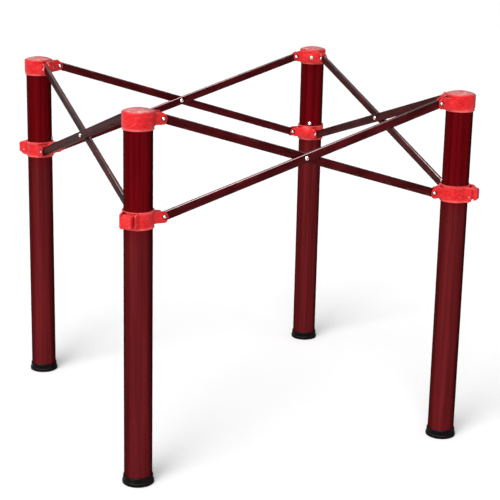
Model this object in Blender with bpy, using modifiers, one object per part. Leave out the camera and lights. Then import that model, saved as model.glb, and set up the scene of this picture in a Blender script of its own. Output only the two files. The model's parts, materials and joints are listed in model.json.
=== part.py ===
"""Collapsible four-leg stand: four round tube legs, each with a moulded cap and a sliding
collar, joined on every side by a pair of crossed braces that fold the stand into a bundle.

Metres, +Z up. The origin is on the floor, midway between the legs. The stand has four-fold
symmetry about Z: everything is laid out for one corner and one side, then turned by quarter
turns. In a corner's own frame +X and +Y run along the two sides that meet there, so the
inner diagonal is (+X, +Y) and the outer diagonal, with the latch, is (-X, -Y).
"""
import math

import bpy
import bmesh
from mathutils import Matrix, Vector

# Frame
LEG_SPACING = 0.618
HALF = LEG_SPACING / 2
PIVOT_OUT = 0.044
CAP_PIVOT_Z = 0.6502
COLLAR_PIVOT_Z = 0.483
SPAN = LEG_SPACING - 2 * PIVOT_OUT
RISE = CAP_PIVOT_Z - COLLAR_PIVOT_Z
BRACE_ANGLE = math.atan2(RISE, SPAN)
PLANE = 0.0038

# Leg tubes
TUBE_R = 0.025
TUBE_WALL = 0.0015
TUBE_BOTTOM = 0.0033
TUBE_TOP = 0.6600
ROUND = 28
LOCK_HOLE_Z = 0.490
LOCK_HOLE_R = 0.0035
STOP_Z = 0.5033
FIXING_DEG = 59.0

# Moulded caps and collars
SHELL_R = 0.028
BORE_R = 0.0253
CAP_BOTTOM = 0.635
CAP_RIM = 0.6650
CAP_TOP = 0.671
CAP_BORE_TOP = 0.6604
COLLAR_BOTTOM = 0.467
COLLAR_TOP = 0.498
EAR_DOWN = 0.0102
EAR_UP = 0.0103
EAR_TIP = 0.0495
CHEEK = 0.003
SLOT = 0.0076
SLOT_START = 0.0342
WEB_R = 0.030
SCREW_Z = 0.6495
SCREW_SEAT = 0.0298
SCREW_SEAT_R = 0.0046
SCREW_END = 0.0268

# Braces and rivets
BAR_HEIGHT = 0.016
BAR_WIDTH = 0.007
BAR_WALL = 0.001
BAR_END = 0.005
BAR_LENGTH = math.hypot(SPAN, RISE) + 2 * BAR_END
RIVET_R = 0.002
RIVET_HOLE_R = 0.00214
RIVET_SIDES = 10
HEAD_R = 0.004
HEAD_H = 0.002
HEAD_GAP = 0.0001

# Release lever, in the plane of radius and height on the outer diagonal
LATCH_LEFT = (0.0150, 0.0180)
LATCH_RIGHT = (-0.0130, -0.0100)
LATCH_TIP = 0.0360
LEVER_PIVOT_R = 0.0315
LEVER_PIVOT_Z = 0.4785
LEVER_SIDES = (-0.0075, 0.0120)
PEG_HALF = 0.0025
PEG_TIP = 0.0253
PIN_R = 0.0015
PIN_ENDS = (-0.0133, 0.0183)
SPRING_Z = 0.4734
SPRING_R = 0.0017
SPRING_WIRE_R = 0.0003
SPRING_FROM = 0.0287
SPRING_TO = 0.0379
SPRING_TURNS = 4

# Feet
FOOT_TOP = 0.016
FOOT_SLEEVE_R = 0.0267
FOOT_FLANGE_R = 0.0283
FOOT_FLANGE_H = 0.006
FOOT_FLOOR = 0.003

CORNERS = ("front_left", "front_right", "back_right", "back_left")
SIDES = ("front", "right", "back", "left")


for old in list(bpy.data.objects):
    bpy.data.objects.remove(old, do_unlink=True)

parts = bpy.data.collections.new("collapsible_four_leg_stand")
cutters = bpy.data.collections.new("cutters")
bpy.context.scene.collection.children.link(parts)
bpy.context.scene.collection.children.link(cutters)


def material(name, colour, roughness, metallic=0.0):
    made = bpy.data.materials.new(name)
    made.use_nodes = True
    shader = made.node_tree.nodes["Principled BSDF"]
    shader.inputs["Base Color"].default_value = (*colour, 1.0)
    shader.inputs["Roughness"].default_value = roughness
    shader.inputs["Metallic"].default_value = metallic
    made.diffuse_color = (*colour, 1.0)
    return made


BURGUNDY = material("burgundy_enamel", (0.150, 0.004, 0.008), 0.32, 0.25)
MAROON = material("maroon_enamel", (0.075, 0.010, 0.012), 0.38, 0.25)
CORAL = material("coral_red_plastic", (0.760, 0.045, 0.050), 0.35)
RUBBER = material("black_rubber", (0.012, 0.012, 0.012), 0.70)
NICKEL = material("nickel_rivet", (0.800, 0.790, 0.770), 0.25, 1.0)
STEEL = material("spring_steel", (0.550, 0.550, 0.560), 0.30, 1.0)


def helper(name, mesh):
    """A guide shape used only by modifiers."""
    made = bpy.data.objects.new(name, mesh)
    made.hide_render = True
    made.display_type = "WIRE"
    cutters.objects.link(made)
    return made


def box(name, low, high, turn=0.0):
    """A box from one corner to the other, turned about Z."""
    bm = bmesh.new()
    bmesh.ops.create_cube(bm, size=1.0)
    size = [b - a for a, b in zip(low, high)]
    middle = [(a + b) / 2 for a, b in zip(low, high)]
    bmesh.ops.scale(bm, vec=size, verts=bm.verts)
    bmesh.ops.translate(bm, vec=middle, verts=bm.verts)
    bmesh.ops.rotate(bm, matrix=Matrix.Rotation(turn, 3, "Z"), verts=bm.verts)
    return helper(name, finished(bm, name))


def rod(name, radius, start, end, sides, turn=0.0):
    """A cylinder between two points."""
    start, end = Vector(start), Vector(end)
    along = end - start
    bm = bmesh.new()
    bmesh.ops.create_cone(
        bm, cap_ends=True, segments=sides, radius1=radius, radius2=radius,
        depth=along.length,
    )
    spin = Matrix.Rotation(turn, 4, "Z")
    aim = along.to_track_quat("Z", "Y").to_matrix().to_4x4()
    place = Matrix.Translation((start + end) / 2) @ aim @ spin
    bmesh.ops.transform(bm, matrix=place, verts=bm.verts)
    return helper(name, finished(bm, name))


def prism(name, outline, low, high, frame):
    """An outline in a frame's XY plane, raised between two heights along the frame's Z."""
    bm = bmesh.new()
    corners = [bm.verts.new((x, y, low)) for x, y in outline]
    base = bm.faces.new(corners)
    raised = bmesh.ops.extrude_face_region(bm, geom=[base])["geom"]
    top = [v for v in raised if isinstance(v, bmesh.types.BMVert)]
    bmesh.ops.translate(bm, vec=(0.0, 0.0, high - low), verts=top)
    bmesh.ops.transform(bm, matrix=frame, verts=bm.verts)
    return helper(name, finished(bm, name))


def finished(bm, name):
    """The mesh of an edited bmesh, with its faces pointing out."""
    bmesh.ops.recalc_face_normals(bm, faces=bm.faces)
    mesh = bpy.data.meshes.new(name)
    bm.to_mesh(mesh)
    bm.free()
    return mesh


def turned(name, profile, steps, closed=False):
    """A profile of (radius, height) pairs turned about Z, listed down its outer side."""
    count = len(profile)
    links = [(i, i + 1) for i in range(count - 1)]
    if closed:
        links.append((count - 1, 0))
    mesh = bpy.data.meshes.new(name)
    mesh.from_pydata([(r, 0.0, z) for r, z in profile], links, [])
    made = helper(name, mesh)
    screw = made.modifiers.new("Turn", "SCREW")
    screw.axis = "Z"
    screw.steps = steps
    screw.render_steps = steps
    screw.use_merge_vertices = True
    screw.merge_threshold = 0.00001
    return helper(name + "_turned", evaluated_mesh(made, name))


def evaluated_mesh(made, name):
    """The mesh an object has after its modifiers, with its faces pointing out."""
    graph = bpy.context.evaluated_depsgraph_get()
    mesh = bpy.data.meshes.new_from_object(made.evaluated_get(graph))
    bm = bmesh.new()
    bm.from_mesh(mesh)
    bmesh.ops.remove_doubles(bm, verts=bm.verts, dist=0.000001)
    bpy.data.meshes.remove(mesh)
    return finished(bm, name)


def shaped(name, base, joined=(), cut=(), crease=35.0):
    """A base shape joined with some shapes and cut by others, as one shared mesh."""
    for operation, shapes in (("UNION", joined), ("DIFFERENCE", cut)):
        for shape in shapes:
            modifier = base.modifiers.new(shape.name, "BOOLEAN")
            modifier.operation = operation
            modifier.solver = "EXACT"
            modifier.object = shape
    mesh = evaluated_mesh(base, name)
    mesh.shade_smooth()
    mesh.set_sharp_from_angle(angle=math.radians(crease))
    return mesh


# Frames: where each corner stands, and where each body turns

def empty(name, location, turn, parent=None):
    made = bpy.data.objects.new(name, None)
    made.empty_display_size = 0.02
    made.parent = parent
    made.location = location
    made.rotation_euler = (0.0, 0.0, turn)
    parts.objects.link(made)
    return made


def piece(name, mesh, colour, parent, location=(0.0, 0.0, 0.0), tilt=0.0):
    """A named part on its parent empty; a tilt turns it about the empty's Y axis."""
    made = bpy.data.objects.new(name, mesh)
    parts.objects.link(made)
    made.parent = parent
    made.location = location
    made.rotation_euler = (0.0, tilt, 0.0)
    if not mesh.materials:
        mesh.materials.append(colour)
    return made


# Leg tube: open tube with the latch's lock hole outside and the stop rivet's hole inside

INNER = Vector((math.sqrt(0.5), math.sqrt(0.5), 0.0))
OUTER_TURN = math.radians(225.0)
LATCH = Matrix.Rotation(OUTER_TURN, 4, "Z")
# the latch's outlines are drawn in radius and height, so their plane stands on the diagonal
LATCH_PLANE = LATCH @ Matrix.Rotation(math.radians(90.0), 4, "X")


def on_fixing(radius, height):
    """A point on the line down the tube that its stop rivet and its cap's screw share."""
    turn = math.radians(FIXING_DEG)
    return Vector((radius * math.cos(turn), radius * math.sin(turn), height))


def on_outer(radius, height):
    return -INNER * radius + Vector((0.0, 0.0, height))


tube_profile = [
    (TUBE_R, TUBE_TOP),
    (TUBE_R, TUBE_BOTTOM),
    (TUBE_R - TUBE_WALL, TUBE_BOTTOM),
    (TUBE_R - TUBE_WALL, TUBE_TOP),
]
lock_hole = rod(
    "lock_hole", LOCK_HOLE_R, on_outer(0.020, LOCK_HOLE_Z), on_outer(0.030, LOCK_HOLE_Z), 12,
)
stop_hole = rod(
    "stop_hole", RIVET_HOLE_R, on_fixing(0.020, STOP_Z), on_fixing(0.030, STOP_Z),
    RIVET_SIDES,
)
tube_mesh = shaped(
    "leg_tube", turned("tube_blank", tube_profile, ROUND, closed=True),
    cut=[lock_hole, stop_hole],
)


# Clevis ears: cap and collar carry the same pair, with their slots swapped between sides

def ear(name, pivot_z, slot_y):
    """Outline of a two-cheek ear along +X, as one block about its slot."""
    outline = [
        (0.0225, pivot_z - EAR_DOWN),
        (EAR_TIP - 0.0040, pivot_z - EAR_DOWN),
        (EAR_TIP - 0.0013, pivot_z - EAR_DOWN + 0.0015),
        (EAR_TIP, pivot_z - EAR_DOWN + 0.0045),
        (EAR_TIP, pivot_z + 0.0040),
        (EAR_TIP - 0.0018, pivot_z + 0.0080),
        (EAR_TIP - 0.0060, pivot_z + EAR_UP),
        (0.0225, pivot_z + EAR_UP),
    ]
    standing = Matrix.Rotation(math.radians(90.0), 4, "X")
    half = SLOT / 2 + CHEEK
    return prism(name, outline, -slot_y - half, -slot_y + half, standing)


def onto_y_side(made):
    """The same shape on the corner's other side: +X goes to +Y."""
    made.data.transform(Matrix.Rotation(math.radians(90.0), 4, "Z"))
    return made


def web(name, pivot_z, face_y, face_x):
    """Fillet that blends the two ears' inner cheeks into the round wall between them."""
    start, end = Vector((0.040, face_y)), Vector((face_x, 0.040))
    middle = Vector((INNER.x, INNER.y)) * WEB_R
    pull = 2.0 * middle - (start + end) / 2
    curve = []
    for i in range(7):
        t = i / 6
        curve.append((1 - t) ** 2 * start + 2 * t * (1 - t) * pull + t ** 2 * end)
    outline = [tuple(p) for p in curve]
    outline += [(face_x - 0.0018, 0.026), (0.0, 0.0), (0.026, face_y - 0.0018)]
    return prism(
        name, outline, pivot_z - EAR_DOWN + 0.0008, pivot_z + EAR_UP - 0.0008,
        Matrix.Identity(4),
    )


def clevises(name, pivot_z, x_slot, y_slot):
    """Ears and web to join, and slots and rivet holes to cut, for a cap or a collar."""
    half = SLOT / 2
    reach = 0.020
    ears = [
        ear(name + "_ear_x", pivot_z, x_slot),
        onto_y_side(ear(name + "_ear_y", pivot_z, -y_slot)),
        web(
            name + "_web", pivot_z, x_slot + half + CHEEK, y_slot + half + CHEEK,
        ),
    ]
    cuts = []
    for side, slot in (("x", x_slot), ("y", -y_slot)):
        gap = box(
            name + "_slot_" + side,
            (SLOT_START, slot - half, pivot_z - reach),
            (0.060, slot + half, pivot_z + reach),
        )
        hole = rod(
            name + "_hole_" + side, RIVET_HOLE_R,
            (PIVOT_OUT, slot - reach, pivot_z), (PIVOT_OUT, slot + reach, pivot_z),
            RIVET_SIDES,
        )
        if side == "y":
            gap, hole = onto_y_side(gap), onto_y_side(hole)
        cuts += [gap, hole]
    return ears, cuts


# Top cap: closed domed cap over the tube's end, with a flat crown

cap_profile = [
    (0.0, CAP_TOP),
    (0.0110, CAP_TOP),
    (0.0215, CAP_TOP - 0.0026),
    (SHELL_R - 0.0008, CAP_RIM),
    (SHELL_R, CAP_RIM - 0.0008),
    (SHELL_R, CAP_BOTTOM + 0.0070),
    (SHELL_R - 0.0010, CAP_BOTTOM),
    (0.0, CAP_BOTTOM),
]
cap_ears, cap_cuts = clevises("cap", CAP_PIVOT_Z, PLANE, -PLANE)
cap_bore = rod(
    "cap_bore", BORE_R, (0.0, 0.0, CAP_BOTTOM - 0.005), (0.0, 0.0, CAP_BORE_TOP), ROUND,
)
screw_cuts = [
    rod(
        "screw_seat", SCREW_SEAT_R, on_fixing(SCREW_SEAT, SCREW_Z),
        on_fixing(SCREW_SEAT + 0.010, SCREW_Z), 16,
    ),
    rod(
        "screw_hole", RIVET_HOLE_R, on_fixing(SCREW_END - 0.0003, SCREW_Z),
        on_fixing(SCREW_SEAT + 0.001, SCREW_Z), RIVET_SIDES,
    ),
]
cap_mesh = shaped(
    "top_cap", turned("cap_blank", cap_profile, ROUND), joined=cap_ears,
    cut=[cap_bore] + cap_cuts + screw_cuts,
)


# Sliding collar: ring with the ears inside and the latch's two cheeks outside

collar_profile = [
    (0.0, COLLAR_TOP),
    (SHELL_R - 0.0008, COLLAR_TOP),
    (SHELL_R, COLLAR_TOP - 0.0008),
    (SHELL_R, COLLAR_BOTTOM + 0.0060),
    (SHELL_R - 0.0008, COLLAR_BOTTOM),
    (0.0, COLLAR_BOTTOM),
]
cheek_outline = [
    (0.0205, COLLAR_BOTTOM + 0.0008),
    (0.0310, COLLAR_BOTTOM + 0.0008),
    (LATCH_TIP - 0.0010, COLLAR_BOTTOM + 0.0034),
    (LATCH_TIP, COLLAR_BOTTOM + 0.0052),
    (LATCH_TIP, COLLAR_TOP - 0.0046),
    (LATCH_TIP - 0.0012, COLLAR_TOP - 0.0028),
    (0.0310, COLLAR_TOP - 0.0008),
    (0.0205, COLLAR_TOP - 0.0008),
]
latch_cheeks = [
    prism("latch_cheek_left", cheek_outline, *LATCH_LEFT, LATCH_PLANE),
    prism("latch_cheek_right", cheek_outline, *LATCH_RIGHT, LATCH_PLANE),
]
lever_pin_hole = rod(
    "lever_pin_hole", PIN_R + 0.00012,
    LATCH @ Vector((LEVER_PIVOT_R, -0.020, LEVER_PIVOT_Z)),
    LATCH @ Vector((LEVER_PIVOT_R, 0.020, LEVER_PIVOT_Z)), 12,
)
peg_slot = box(
    "peg_slot", (0.022, -0.0030, LEVER_PIVOT_Z + 0.0087),
    (0.0300, 0.0030, LEVER_PIVOT_Z + 0.0159), OUTER_TURN,
)
collar_ears, collar_cuts = clevises("collar", COLLAR_PIVOT_Z, -PLANE, PLANE)
collar_bore = rod(
    "collar_bore", BORE_R, (0.0, 0.0, COLLAR_BOTTOM - 0.005), (0.0, 0.0, COLLAR_TOP + 0.005),
    ROUND,
)
collar_mesh = shaped(
    "collar", turned("collar_blank", collar_profile, ROUND),
    joined=collar_ears + latch_cheeks,
    cut=[collar_bore] + collar_cuts + [peg_slot, lever_pin_hole],
)


# Release lever: thumb pad below, arm and peg above, rocking on a pin through the cheeks.
# Its mesh is about the pin, so the lever's origin is its axis.

lever_outline = [
    (r, LEVER_PIVOT_Z + above)
    for r, above in (
        (0.0290, 0.0140),
        (0.0314, 0.0167),
        (0.0340, 0.0167),
        (0.0438, 0.0136),
        (0.0450, 0.0120),
        (0.0450, -0.0043),
        (0.0438, -0.0058),
        (0.0384, -0.0070),
        (0.0384, -0.0026),
        (0.0300, -0.0026),
        (0.0290, -0.0010),
    )
]
peg_low, peg_high = LEVER_PIVOT_Z + 0.0095, LEVER_PIVOT_Z + 0.0133
peg_outline = [(PEG_TIP, peg_low), (0.0300, peg_low), (0.0300, peg_high), (PEG_TIP, peg_high)]
lever_blank = prism("lever_blank", lever_outline, *LEVER_SIDES, LATCH_PLANE)
lever_peg = prism("lever_peg", peg_outline, -PEG_HALF, PEG_HALF, LATCH_PLANE)
lever_bore = rod(
    "lever_bore", PIN_R + 0.00012,
    LATCH @ Vector((LEVER_PIVOT_R, -0.020, LEVER_PIVOT_Z)),
    LATCH @ Vector((LEVER_PIVOT_R, 0.020, LEVER_PIVOT_Z)), 12,
)
lever_mesh = shaped("release_lever", lever_blank, joined=[lever_peg], cut=[lever_bore])
lever_origin = LATCH @ Vector((LEVER_PIVOT_R, 0.0, LEVER_PIVOT_Z))
lever_mesh.transform(Matrix.Translation(-lever_origin))

pin_mesh = shaped(
    "lever_pin",
    rod(
        "pin_blank", PIN_R, LATCH_PLANE @ Vector((LEVER_PIVOT_R, LEVER_PIVOT_Z, PIN_ENDS[0])),
        LATCH_PLANE @ Vector((LEVER_PIVOT_R, LEVER_PIVOT_Z, PIN_ENDS[1])), 12,
    ),
)
pin_mesh.transform(Matrix.Translation(-lever_origin))


def coil():
    """Compression spring between the collar's wall and the lever's lower arm."""
    per_turn = 7
    count = SPRING_TURNS * per_turn + 1
    data = bpy.data.curves.new("coil", "CURVE")
    data.dimensions = "3D"
    data.bevel_depth = SPRING_WIRE_R
    data.bevel_resolution = 1
    data.resolution_u = 1
    data.render_resolution_u = 0
    data.use_fill_caps = True
    wire = data.splines.new("POLY")
    wire.points.add(count - 1)
    length = SPRING_TO - SPRING_FROM
    for i, point in enumerate(wire.points):
        turn = 2.0 * math.pi * i / per_turn
        along = SPRING_FROM + length * i / (count - 1)
        point.co = (
            along, SPRING_R * math.cos(turn), SPRING_Z + SPRING_R * math.sin(turn), 1.0,
        )
    made = bpy.data.objects.new("coil", data)
    cutters.objects.link(made)
    bpy.context.view_layer.update()
    mesh = evaluated_mesh(made, "lever_spring")
    bpy.data.objects.remove(made)
    mesh.transform(LATCH)
    mesh.shade_smooth()
    return mesh


spring_mesh = coil()


# Foot: rubber cup on the tube's end with a wider tread

foot_profile = [
    (0.0, FOOT_FLOOR),
    (BORE_R, FOOT_FLOOR),
    (BORE_R, FOOT_TOP),
    (FOOT_SLEEVE_R, FOOT_TOP),
    (FOOT_SLEEVE_R, FOOT_FLANGE_H),
    (FOOT_FLANGE_R, FOOT_FLANGE_H - 0.0008),
    (FOOT_FLANGE_R, 0.0),
    (0.0, 0.0),
]
foot_mesh = shaped("foot", turned("foot_blank", foot_profile, ROUND))


# Rivets: a shank between two domed heads

def rivet(name, half_grip, tail_r=HEAD_R, tail_h=HEAD_H):
    """A rivet along Z, its heads just clear of the faces it holds."""
    seat = half_grip + HEAD_GAP

    def head(radius, height):
        return [
            (0.0, seat + height),
            (0.72 * radius, seat + 0.68 * height),
            (radius, seat),
            (RIVET_R, seat),
        ]

    top = head(HEAD_R, HEAD_H)
    bottom = [(r, -z) for r, z in reversed(head(tail_r, tail_h))]
    return shaped(name, turned(name + "_blank", top + bottom, RIVET_SIDES), crease=50.0)


end_rivet_mesh = rivet("end_rivet", SLOT / 2 + CHEEK)
cross_rivet_mesh = rivet("cross_rivet", PLANE + BAR_WIDTH / 2)
stop_rivet_mesh = rivet("stop_rivet", 0.0012, tail_r=0.0029, tail_h=0.0014)


# Brace: rectangular tube about its middle, long axis on X, with its three rivet holes

def brace():
    half = BAR_LENGTH / 2
    high, wide = BAR_HEIGHT / 2, BAR_WIDTH / 2
    blank = box("brace_blank", (-half, -wide, -high), (half, wide, high))
    hollow = box(
        "brace_hollow", (-half - 0.01, -wide + BAR_WALL, -high + BAR_WALL),
        (half + 0.01, wide - BAR_WALL, high - BAR_WALL),
    )
    holes = []
    for i, along in enumerate((-half + BAR_END, 0.0, half - BAR_END)):
        holes.append(
            rod(
                "brace_hole_%d" % i, RIVET_HOLE_R, (along, -0.01, 0.0), (along, 0.01, 0.0),
                RIVET_SIDES,
            )
        )
    return shaped("brace", blank, cut=[hollow] + holes)


brace_mesh = brace()


def shifted(mesh, name, offset):
    """A copy of a mesh moved along its length, so that its origin is another pivot."""
    made = mesh.copy()
    made.name = name
    made.transform(Matrix.Translation(offset))
    return made


ARM = math.hypot(SPAN, RISE) / 2
braces = {
    "middle": brace_mesh,
    "left": shifted(brace_mesh, "brace_left", (ARM, 0.0, 0.0)),
    "right": shifted(brace_mesh, "brace_right", (-ARM, 0.0, 0.0)),
}


# Corners. A leg or collar turns with the braces about one of its two rivets: a leg's empty is
# on its cap's rivet and a collar's on its own. The front left leg is the one that stands still.

LEG_EARS = {"front_left": None, "front_right": "y", "back_right": "x", "back_left": "x"}
COLLAR_EARS = {"front_left": "x", "front_right": "y", "back_right": "x", "back_left": "x"}


def ear_pivot(ear_side, height, x_slot, y_slot):
    """A rivet's middle in its corner's frame."""
    if ear_side == "x":
        return Vector((PIVOT_OUT, x_slot, height))
    if ear_side == "y":
        return Vector((y_slot, PIVOT_OUT, height))
    return Vector((0.0, 0.0, 0.0))


def corner_point(index, local):
    spin = Matrix.Rotation(math.radians(90.0 * index), 4, "Z")
    return spin @ (Vector((-HALF, -HALF, 0.0)) + Vector(local))


for index, corner in enumerate(CORNERS):
    turn = math.radians(90.0 * index)
    leg_pivot = ear_pivot(LEG_EARS[corner], CAP_PIVOT_Z, PLANE, -PLANE)
    collar_pivot = ear_pivot(COLLAR_EARS[corner], COLLAR_PIVOT_Z, -PLANE, PLANE)
    leg = empty("leg_frame_" + corner, corner_point(index, leg_pivot), turn)
    slider = empty("collar_frame_" + corner, corner_point(index, collar_pivot), turn)

    piece("leg_tube_" + corner, tube_mesh, BURGUNDY, leg, -leg_pivot)
    piece("top_cap_" + corner, cap_mesh, CORAL, leg, -leg_pivot)
    piece("foot_" + corner, foot_mesh, RUBBER, leg, -leg_pivot)
    stop = piece(
        "stop_rivet_" + corner, stop_rivet_mesh, NICKEL, leg,
        on_fixing(TUBE_R - 0.0009, STOP_Z) - leg_pivot,
    )
    stop.rotation_euler = (0.0, math.radians(90.0), math.radians(FIXING_DEG))

    piece("collar_" + corner, collar_mesh, CORAL, slider, -collar_pivot)
    piece("lever_spring_" + corner, spring_mesh, STEEL, slider, -collar_pivot)
    piece("lever_pin_" + corner, pin_mesh, NICKEL, slider, lever_origin - collar_pivot)
    piece("release_lever_" + corner, lever_mesh, CORAL, slider, lever_origin - collar_pivot)


# Sides. Seen from outside, the rising brace goes from the left collar up to the right cap and
# runs in the outer plane; the falling brace goes from the left cap down to the right collar
# and runs in the inner plane. Each is placed on the rivet it turns about.

BRACE_ON = {
    ("front", "rising"): "middle",
    ("front", "falling"): "left",
    ("right", "rising"): "middle",
    ("right", "falling"): "left",
    ("back", "rising"): "right",
    ("back", "falling"): "middle",
    ("left", "rising"): "right",
    ("left", "falling"): "middle",
}
ALONG = {"left": 0.0, "middle": SPAN / 2, "right": SPAN}

for index, side in enumerate(SIDES):
    turn = math.radians(90.0 * index)
    for slope, plane in (("rising", -PLANE), ("falling", PLANE)):
        hold = BRACE_ON[side, slope]
        start = COLLAR_PIVOT_Z if slope == "rising" else CAP_PIVOT_Z
        climb = RISE / SPAN if slope == "rising" else -RISE / SPAN
        at = (PIVOT_OUT + ALONG[hold], plane, start + climb * ALONG[hold])
        frame = empty("brace_frame_%s_%s" % (side, slope), corner_point(index, at), turn)
        tilt = -BRACE_ANGLE if slope == "rising" else BRACE_ANGLE
        piece("brace_%s_%s" % (side, slope), braces[hold], MAROON, frame, tilt=tilt)

    middle = (PIVOT_OUT + SPAN / 2, 0.0, (CAP_PIVOT_Z + COLLAR_PIVOT_Z) / 2)
    ends = (
        ("cross_rivet_" + side, middle, cross_rivet_mesh),
        ("cap_rivet_%s_a" % side, (PIVOT_OUT, PLANE, CAP_PIVOT_Z), end_rivet_mesh),
        ("cap_rivet_%s_b" % side, (PIVOT_OUT + SPAN, -PLANE, CAP_PIVOT_Z), end_rivet_mesh),
        ("collar_rivet_%s_a" % side, (PIVOT_OUT, -PLANE, COLLAR_PIVOT_Z), end_rivet_mesh),
        ("collar_rivet_%s_b" % side, (PIVOT_OUT + SPAN, PLANE, COLLAR_PIVOT_Z), end_rivet_mesh),
    )
    for name, at, mesh in ends:
        pin = piece(name, mesh, NICKEL, None, corner_point(index, at))
        pin.rotation_euler = (math.radians(90.0), 0.0, turn)

bpy.context.view_layer.update()
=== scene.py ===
"""Looks of the folding four-leg stand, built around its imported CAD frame.

Every visible piece is modelled about one corner or one side of the stand and placed by
quarter turns. In a corner's own frame the leg's axis is Z, +X and +Y run along the two sides
that meet there, and the latch is on the outer diagonal.
"""
import json
import math

import bmesh
import bpy
from mathutils import Matrix, Vector


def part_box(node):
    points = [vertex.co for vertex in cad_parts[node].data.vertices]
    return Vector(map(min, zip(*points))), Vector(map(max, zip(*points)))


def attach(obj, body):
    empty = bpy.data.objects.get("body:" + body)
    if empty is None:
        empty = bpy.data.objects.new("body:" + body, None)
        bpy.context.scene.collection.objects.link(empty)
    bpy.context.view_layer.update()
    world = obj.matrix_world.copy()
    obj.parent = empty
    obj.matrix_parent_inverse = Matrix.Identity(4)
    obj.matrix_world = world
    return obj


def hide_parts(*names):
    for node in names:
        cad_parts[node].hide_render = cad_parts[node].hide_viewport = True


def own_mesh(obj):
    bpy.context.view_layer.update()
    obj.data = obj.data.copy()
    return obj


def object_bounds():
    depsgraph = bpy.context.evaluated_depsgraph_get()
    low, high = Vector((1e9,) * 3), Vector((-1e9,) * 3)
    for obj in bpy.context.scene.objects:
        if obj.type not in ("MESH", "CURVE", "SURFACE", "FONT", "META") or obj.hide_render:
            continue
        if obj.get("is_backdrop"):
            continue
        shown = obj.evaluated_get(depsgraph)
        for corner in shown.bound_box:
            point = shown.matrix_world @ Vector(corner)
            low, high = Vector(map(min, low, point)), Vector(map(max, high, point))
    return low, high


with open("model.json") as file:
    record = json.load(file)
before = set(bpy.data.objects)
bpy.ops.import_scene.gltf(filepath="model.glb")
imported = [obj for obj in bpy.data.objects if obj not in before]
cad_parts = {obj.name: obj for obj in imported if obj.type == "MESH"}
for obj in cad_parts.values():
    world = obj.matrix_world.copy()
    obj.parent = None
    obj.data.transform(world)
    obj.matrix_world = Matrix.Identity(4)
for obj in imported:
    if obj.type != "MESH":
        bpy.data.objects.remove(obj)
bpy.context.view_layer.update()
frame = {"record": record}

CORNERS = ("front_left", "front_right", "back_right", "back_left")
SIDES = ("front", "right", "back", "left")


# ---------------------------------------------------------------- measures from the frame

def middle(node):
    """The centre of a CAD node's box."""
    low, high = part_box(node)
    return (low + high) / 2


def size(node):
    """The size of a CAD node's box."""
    low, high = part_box(node)
    return high - low


LEG = {c: middle("leg_tube_" + c) for c in CORNERS}
TUBE_LOW, TUBE_HIGH = (p.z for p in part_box("leg_tube_front_left"))
TUBE_R = size("leg_tube_front_left").x / 2
TUBE_WALL = 0.0015
CAP_LOW, CAP_HIGH = (p.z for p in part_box("top_cap_front_left"))
COLLAR_LOW, COLLAR_HIGH = (p.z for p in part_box("collar_front_left"))
CAP_PIVOT = middle("cap_rivet_front_a") - Vector((LEG["front_left"].x, LEG["front_left"].y, 0))
PLANE = CAP_PIVOT.y  # how far each brace's middle plane lies from the line between two legs
OUT = CAP_PIVOT.x  # how far along its side a brace's end pivot lies from the leg's axis
CAP_Z = CAP_PIVOT.z
COLLAR_Z = middle("collar_rivet_front_a").z
LOCK_HOLE_Z = 0.490

CAP_R = 0.028
COLLAR_R = 0.0273
BORE_R = 0.0253
ROOT_R = 0.0235  # inside a moulded wall, where the ears, cheeks and bosses start
CHEEK = 0.003
SLOT = 0.0076
EAR_TIP = 0.0495
EAR_DOWN, EAR_UP = 0.0102, 0.0103
BAR_HEIGHT = 0.016
BAR_WIDTH = 0.007
RIVET_HOLE_R = 0.00214
PIN_HOLE_R = 0.00162

INNER = Vector((math.sqrt(0.5), math.sqrt(0.5), 0.0))
FIXING_TURN = math.radians(59.0)
FIXING = Vector((math.cos(FIXING_TURN), math.sin(FIXING_TURN), 0.0))
FACE_FIXING = Matrix.Rotation(FIXING_TURN, 4, "Z") @ Matrix.Rotation(math.radians(90.0), 4, "Y")
TO_LATCH = Matrix.Rotation(math.radians(225.0), 4, "Z")
UPRIGHT = Matrix.Rotation(math.radians(90.0), 4, "X")
QUARTER = Matrix.Rotation(math.radians(90.0), 4, "Z")


# ---------------------------------------------------------------- shape tools

def rounded(corners, closed=True, step=math.radians(15.0)):
    """A polygon of (x, y, radius) corners as points, with each corner rounded to its radius."""
    points = []
    count = len(corners)
    for i, (x, y, radius) in enumerate(corners):
        corner = Vector((x, y))
        if radius == 0.0 or (not closed and i in (0, count - 1)):
            points.append(corner)
            continue
        before = (Vector(corners[i - 1][:2]) - corner).normalized()
        after = (Vector(corners[(i + 1) % count][:2]) - corner).normalized()
        half = before.angle(after) / 2
        centre = corner + (before + after).normalized() * (radius / math.sin(half))
        start = corner + before * (radius / math.tan(half)) - centre
        end = corner + after * (radius / math.tan(half)) - centre
        sweep = math.atan2(start.x * end.y - start.y * end.x, start.dot(end))
        steps = max(2, round(abs(sweep) / step))
        for k in range(steps + 1):
            points.append(centre + Matrix.Rotation(sweep * k / steps, 2) @ start)
    return points


def bezier(start, pull, end, steps=14):
    """Points along a curve from start to end that bends towards pull."""
    points = []
    for i in range(steps + 1):
        t = i / steps
        points.append((1 - t) ** 2 * start + 2 * t * (1 - t) * pull + t ** 2 * end)
    return points


def solid(bm, name):
    """A mesh from a bmesh, welded and with its faces pointing out."""
    bmesh.ops.remove_doubles(bm, verts=bm.verts, dist=1e-6)
    bmesh.ops.recalc_face_normals(bm, faces=bm.faces)
    mesh = bpy.data.meshes.new(name)
    bm.to_mesh(mesh)
    bm.free()
    return mesh


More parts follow.
